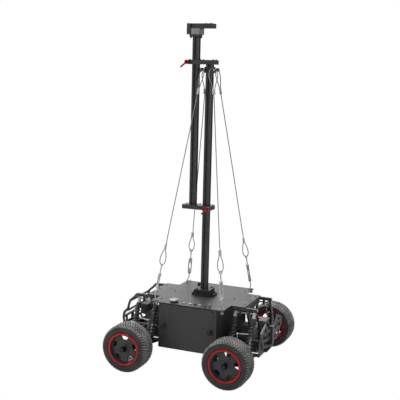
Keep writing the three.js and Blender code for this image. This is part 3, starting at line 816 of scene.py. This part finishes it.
def make_turnbuckle(corner, low, across):
    """The open frame, which turns, and the eye and hook, which don't."""
    up = Vector(JOINTS[f"turnbuckle_turn_{corner}"]["axis"]).normalized()

    def at(distance, offset=0.0):
        return low + up * distance * MM + across * offset * MM

    shell = bmesh.new()
    for a, b in ((34, 43), (95, 104)):
        collar = mm((0, a), (5, a), (6.2, a + 1.5), (6.2, b - 1.5), (5, b), (0, b))
        add_lathe(shell, collar, aimed(low, up), 20)
    for sign in (-1, 1):
        side_bar = [at(d, sign * o) for d, o in ((36, 4.2), (44, 5.2), (69, 5.6), (94, 5.2), (102, 4.2))]
        add_tube(shell, smooth_path(side_bar, 4), 2.3 * MM, 10)
    body = f"turnbuckle_{corner}"
    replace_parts(from_bmesh(f"turnbuckle_frame_{corner}", shell, "ferrule", body), f"turnbuckle_{corner}")
    ends = bmesh.new()
    add_tube(ends, [at(d) for d in (80, 104, 130)], 2.3 * MM, 12)
    around = [math.tau * k / 24 for k in range(24)]
    ring = [at(134.5) + 5.2 * MM * (math.cos(a) * up + math.sin(a) * across) for a in around]
    add_tube(ends, ring, 1.9 * MM, 10, closed=True)
    hook = [at(d, o) for d, o in ((58, 0), (40, 0), (24, 0), (17, -0.5), (12, -3.5), (6, -6.6), (-1, -6.6),
                                  (-6, -2.5), (-6, 3), (-1, 6.6), (6, 6.8))]
    add_tube(ends, smooth_path(hook, 5), 1.9 * MM, 12)
    from_bmesh(f"turnbuckle_ends_{corner}", ends, "ferrule", "chassis")


def make_corner_screws(corner, low):
    """The nut under the deck's hole, and a screw beside the hole."""
    bolt = bmesh.new()
    nut = mm((0, -15), (5.4, -15), (6, -14), (6, -6), (5.4, -5), (0, -5))
    add_lathe(bolt, nut, standing(low.x, low.y, DECK_TOP), 6)
    beside = standing(low.x - end_of(corner) * 9 * MM, low.y - side_of(corner) * 7 * MM, DECK_TOP)
    add_screw(bolt, beside, 3.4 * MM, 2.4 * MM)
    from_bmesh(f"corner_nut_{corner}", bolt, "steel", "chassis")


# ---------------------------------------------------------------- deck and box details
FITTING_ROW_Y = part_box("top_plate")[0].y + 26 * MM


def make_button():
    """A domed cap in a bright bezel, on a dark body that goes through the deck."""
    centre = middle("button_cap")
    place = standing(centre.x, centre.y, DECK_TOP)
    shell = bmesh.new()
    add_ring(shell, mm((12.2, 0.1), (15.2, 0.1), (15.2, 5.0), (14.6, 5.6), (12.2, 5.6)), place, 48)
    add_ring(shell, mm((7, -18), (12, -18), (12, -3.2), (7, -3.2)), place, 40)
    from_bmesh("button_body", shell, "plastic", "chassis")
    bezel = bmesh.new()
    bezel_profile = mm((11.6, 5.7), (15.4, 5.7), (15.8, 6.6), (15.6, 9.4), (14.4, 11.2), (12.6, 11.9),
                       (11.6, 11.2))
    add_ring(bezel, bezel_profile, place, 56)
    from_bmesh("button_bezel", bezel, "ferrule", "chassis")
    cap = bmesh.new()
    cap_profile = mm((0, -12), (4, -12), (4, 6), (10.6, 6.4), (11, 7.2), (11, 9.8), (10.4, 10.7), (8.4, 11),
                     (6.5, 10.7), (0, 10.5))
    add_lathe(cap, cap_profile, place, 48)
    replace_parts(from_bmesh("button_dome", cap, "green", "button"), "button_cap")


def make_deck_fittings():
    """A row of sockets and screws by the button, a round connector behind the mast, and small deck screws."""
    def at(x, y=FITTING_ROW_Y):
        return standing(MAST.x + x * MM, y, DECK_TOP)

    socket = mm((3.2, 0.1), (6.4, 0.1), (6.4, 1.6), (5.6, 2.4), (4.2, 2.4), (3.2, 1.6))
    socket_floor = mm((0, 0.2), (3.1, 0.2), (3.1, 1.2), (0, 1.2))
    post_nut = mm((0, 0.1), (5.6, 0.1), (5.6, 2.2), (4.4, 2.6), (4.4, 8), (3.8, 9), (0, 9))
    contact = mm((0, 8.8), (1.4, 8.8), (1.4, 10), (0, 10.2))
    jack = mm((0, 0.1), (5, 0.1), (5, 1.4), (4.2, 2), (4.2, 3.4), (3.6, 4), (2.4, 4), (2.4, 3), (0, 3))
    connector = mm((0, 0.1), (9, 0.1), (9, 2.4), (7.6, 3.2), (7.6, 11), (6.4, 12), (0, 12))
    bright, dark, gold = bmesh.new(), bmesh.new(), bmesh.new()
    for x in (-22, 2, 40):
        add_ring(bright, socket, at(x), 28)
        add_lathe(dark, socket_floor, at(x), 20)
    for x in (62, 80):
        add_lathe(bright, post_nut, at(x), 6)
        add_lathe(gold, contact, at(x), 14)
    add_lathe(dark, jack, at(22), 28)
    add_lathe(dark, connector, at(-68, 118 * MM), 32)
    for x in (-9, 12, 31, 51, 71):
        add_screw(bright, at(x, FITTING_ROW_Y + 7 * MM), 1.6 * MM, 1.2 * MM)
    for sign in (-1, 1):
        for y in (-60, 0, 60):
            add_screw(dark, at(sign * 186, y * MM), 2.8 * MM, 1.6 * MM)
            add_screw(dark, at(sign * 122, y * 2 * MM), 2.8 * MM, 1.6 * MM)
    from_bmesh("deck_sockets", bright, "steel", "chassis")
    from_bmesh("deck_connectors", dark, "screw", "chassis")
    from_bmesh("deck_contacts", gold, "brass", "chassis")


def make_thumb_knobs():
    """Knurled knobs that hold the side panels, and a small screw in each panel's corner."""
    knob = mm((0, 0), (5, 0), (5, 2), (8.6, 2.6), (9, 3.4), (9, 9.4), (8.2, 10.6), (5, 10.6), (4.4, 9.6),
              (0, 9.6))
    for name, side in (("right", -1), ("left", 1)):
        low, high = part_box(f"side_panel_{name}")
        face = low.y if side < 0 else high.y
        knobs = bmesh.new()
        for x in (low.x + 20 * MM, high.x - 12 * MM):
            place = aimed((x, face, (low.z + high.z) / 2), (0, side, 0))
            add_lathe(knobs, knob, place, 40)
            for k in range(24):
                knurl = place @ turned(math.tau * k / 24)
                add_box(knobs, (8.8 * MM, -0.5 * MM, 3.4 * MM), (9.5 * MM, 0.5 * MM, 9.2 * MM), knurl)
        from_bmesh(f"thumb_knobs_{name}", knobs, "plastic", "chassis")
        screws = bmesh.new()
        for x in (low.x + 6 * MM, high.x - 6 * MM):
            for z in (low.z + 8 * MM, high.z - 8 * MM):
                add_screw(screws, aimed((x, face, z), (0, side, 0)), 2.2 * MM, 1.0 * MM)
        from_bmesh(f"panel_screws_{name}", screws, "screw", "chassis")


# ---------------------------------------------------------------- mast details
LEVER_WAY = Vector((-0.74, 0, -0.67))
BRACKET_SCREWS_X = (-74, -32, 18)


def make_lever(which):
    """A red grip that rises as it leaves its round hub, and the stud and washer that it clamps with."""
    joint = pivot(f"lever_{which}_turn")
    seat = Vector((joint.x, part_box(f"clamp_lever_{which}")[1].y, joint.z))
    body = f"lever_{which}"
    place = aimed(seat, (0, -1, 0))
    hub = mm((0, 4.5), (7.2, 4.5), (8, 5.5), (8, 13), (7, 14.6), (4.2, 14.6), (4, 12), (0, 12))
    washer = mm((0, 0.3), (6.2, 0.3), (6.2, 1.4), (5, 1.6), (5, 4.6), (0, 4.6))
    tip = mm((0, -3), (2.4, -2.6), (3.6, 0), (2.8, 2.6), (0, 3.4))
    grip, stud = bmesh.new(), bmesh.new()
    add_lathe(grip, hub, place, 32)
    arm = ((0, 10), (7, 11), (14, 13), (21, 14.5), (27, 15))
    spots = [seat + LEVER_WAY * reach * MM + Vector((0, -lift * MM, 0)) for reach, lift in arm]
    for k, (start, stop) in enumerate(zip(spots, spots[1:])):
        add_tube(grip, [start, stop], (3.4 - 0.1 * k) * MM, 12)
    add_lathe(grip, tip, aimed(spots[-1], LEVER_WAY), 16)
    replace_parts(from_bmesh(f"lever_grip_{which}", grip, "red", body), f"clamp_lever_{which}")
    add_lathe(stud, washer, place, 24)
    add_screw(stud, place @ standing(0, 0, 12 * MM), 3.0 * MM, 2 * MM)
    from_bmesh(f"lever_stud_{which}", stud, "screw", body)


def make_mast_screws():
    """Screws of the base, the collar and the upper bracket, and the ends of the four pegs."""
    dark, bright = bmesh.new(), bmesh.new()
    low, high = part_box("mast_base")
    for sx in (-1, 1):
        for sy in (-1, 1):
            add_screw(dark, standing(MAST.x + sx * 37 * MM, sy * 13 * MM, low.z + 9 * MM), 4 * MM, 4 * MM)
            add_screw(dark, standing(MAST.x + sx * 22 * MM, sy * 20 * MM, high.z), 3.4 * MM, 3.4 * MM)
    for sx in (-1, 1):
        front = (MAST.x + sx * 14 * MM, low.y, (low.z + high.z) / 2)
        add_screw(dark, aimed(front, (0, -1, 0)), 3.4 * MM, 2.6 * MM)
    collar = middle("guy_collar")
    for z in (-5, 5):
        front = (MAST.x + 5 * MM, MAST.y - 15.5 * MM, collar.z + z * MM)
        add_screw(dark, aimed(front, (0, -1, 0)), 2 * MM, 1.6 * MM)
    for corner_way in ((-1, -1), (-1, 1), (1, -1), (1, 1)):
        out = Vector((*corner_way, 0)).normalized()
        add_screw(bright, aimed(collar + out * 36 * MM, out), 3.2 * MM, 1.2 * MM)
    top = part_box("upper_bracket")[1].z
    for x in BRACKET_SCREWS_X:
        for y in (14, -14):
            add_screw(dark, standing(MAST.x + x * MM, y * MM, top), 2.8 * MM, 2.6 * MM)
    from_bmesh("mast_screws", dark, "screw", "chassis")
    from_bmesh("peg_screws", bright, "steel", "chassis")


def make_head_details():
    """Screws of the sliding bracket and the head, the head's light sleeve and its small knob."""
    screws = bmesh.new()
    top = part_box("sliding_bracket")[1].z
    for x in BRACKET_SCREWS_X:
        for y in (-14, 14):
            add_screw(screws, standing(MAST.x + x * MM, y * MM, top), 2.8 * MM, 2.6 * MM)
    low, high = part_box("head_mount")
    for x, y in ((-71, -16), (-45, -16), (-71, 16), (-45, 16)):
        add_screw(screws, aimed((MAST.x + x * MM, y * MM, low.z), (0, 0, -1)), 4 * MM, 4.5 * MM)
    for x in (-14, 4):
        for y in (-12, 12):
            add_screw(screws, standing(MAST.x + x * MM, y * MM, high.z), 2.6 * MM, 1.6 * MM)
    sleeve = bmesh.new()
    sleeve_low = (MAST.x - 69.5 * MM, -23 * MM, low.z + 8.3 * MM)
    sleeve_high = (MAST.x - 35 * MM, 23 * MM, high.z - 17.5 * MM)
    add_box(sleeve, sleeve_low, sleeve_high, bevel=1.2 * MM)
    from_bmesh("head_sleeve", sleeve, "light", "mast_upper")
    knob = mm((0, 0), (3, 0), (3, 2), (6, 2.4), (6, 6.4), (5, 7.4), (0, 7.4))
    add_lathe(screws, knob, aimed((low.x, -6 * MM, high.z - 22 * MM), (-1, 0, 0)), 20)
    from_bmesh("head_screws", screws, "screw", "mast_upper")


# ---------------------------------------------------------------- ends of the chassis
GEARBOX_FACE = 34 * MM
GEARBOX_TOP_FACE = 60.1 * MM
GEARBOX_TOP_SIDE = 26.1 * MM
SUSPENSION_FACE = 56.1 * MM
TOWER_FACE = 3.1 * MM
RAIL_Y = 84 * MM
RAIL_Z = 237 * MM


def make_end_details(end, sign):
    """Screws and braces of one end's rails, towers and gearbox, and the ribbed boss on the gearbox."""
    axle = pivot(f"suspension_{end[0]}l").x
    dark, bright, grey = bmesh.new(), bmesh.new(), bmesh.new()

    def facing(form, x, y, z, way, radius, height):
        """A screw at x along the axle's own direction, with its head facing the way given."""
        add_screw(form, aimed((axle + sign * x, y, z), way), radius * MM, height * MM)

    for side in (-1, 1):
        if sign > 0:
            facing(bright, 46 * MM, side * RAIL_Y, RAIL_Z, (1, 0, 0), 4, 3.4)
        for x in (-26, 22):
            facing(dark, x * MM, side * (RAIL_Y + 5 * MM), RAIL_Z, (0, side, 0), 3, 2.4)
        brace = [Vector((axle + sign * 42 * MM, side * 80 * MM, 235 * MM)),
                 Vector((axle + sign * 55 * MM, side * 60 * MM, 124 * MM))]
        add_tube(dark, brace, 3.4 * MM, 12)
    for y, z in ((-30, 142), (30, 142), (-34, 80), (34, 80), (0, 148)):
        facing(bright, GEARBOX_FACE + 0.2 * MM, y * MM, z * MM, (sign, 0, 0), 2.6, 1.8)
    boss = aimed((axle + sign * GEARBOX_FACE, 0, 112 * MM), (sign, 0, 0))
    add_ring(grey, mm((14, 0), (26, 0), (26, 3), (24, 6), (17, 7.5), (14, 7)), boss, 40)
    for k in range(6):
        rib = boss @ turned(math.tau * k / 6)
        add_box(grey, (17 * MM, -1.2 * MM, 0), (36 * MM, 1.2 * MM, 4 * MM), rib, 0.3 * MM)
    for y, z in ((-19, 176), (19, 176), (-19, 152), (19, 152)):
        facing(dark, GEARBOX_TOP_FACE, y * MM, z * MM, (sign, 0, 0), 3, 1.6)
    for y, z, r in ((-6, 165, 6), (9, 160, 4)):
        port = mm((r * 0.55, 0), (r, 0), (r, 1.5), (r * 0.8, 2), (r * 0.55, 2))
        add_ring(dark, port, aimed((axle + sign * GEARBOX_TOP_FACE, y * MM, z * MM), (sign, 0, 0)), 24)
    for side in (-1, 1):
        for x in (38, 52):
            facing(dark, x * MM, side * GEARBOX_TOP_SIDE, 166 * MM, (0, side, 0), 3, 1.6)
        for y, z in ((66, 70), (66, 96), (40, 118), (52, 82)):
            facing(bright, SUSPENSION_FACE, side * y * MM, z * MM, (sign, 0, 0), 2.6, 2)
            facing(bright, -SUSPENSION_FACE, side * y * MM, z * MM, (-sign, 0, 0), 2.6, 2)
        for y, z in ((62, 228), (48, 196), (34, 168)):
            for way in (-1, 1):
                facing(bright, way * sign * TOWER_FACE, side * y * MM, z * MM, (way, 0, 0), 3, 2.4)
    from_bmesh(f"rail_braces_{end}", dark, "screw", "chassis")
    from_bmesh(f"end_screws_{end}", bright, "steel", "chassis")
    from_bmesh(f"gearbox_ribs_{end}", grey, "grey" if sign > 0 else "plastic", "chassis")


make_camera()
make_world()
make_floor()
make_softboxes()
for corner in CORNERS:
    make_guy(corner)
dress_cad()
make_wheels()
for corner in CORNERS:
    make_shocks(corner)
    make_half_shaft(corner)
    make_sway_bar(corner)
    make_axle_details(corner)
make_button()
make_deck_fittings()
make_thumb_knobs()
make_lever("upper")
make_lever("lower")
make_mast_screws()
make_head_details()
make_end_details("front", 1)
make_end_details("rear", -1)
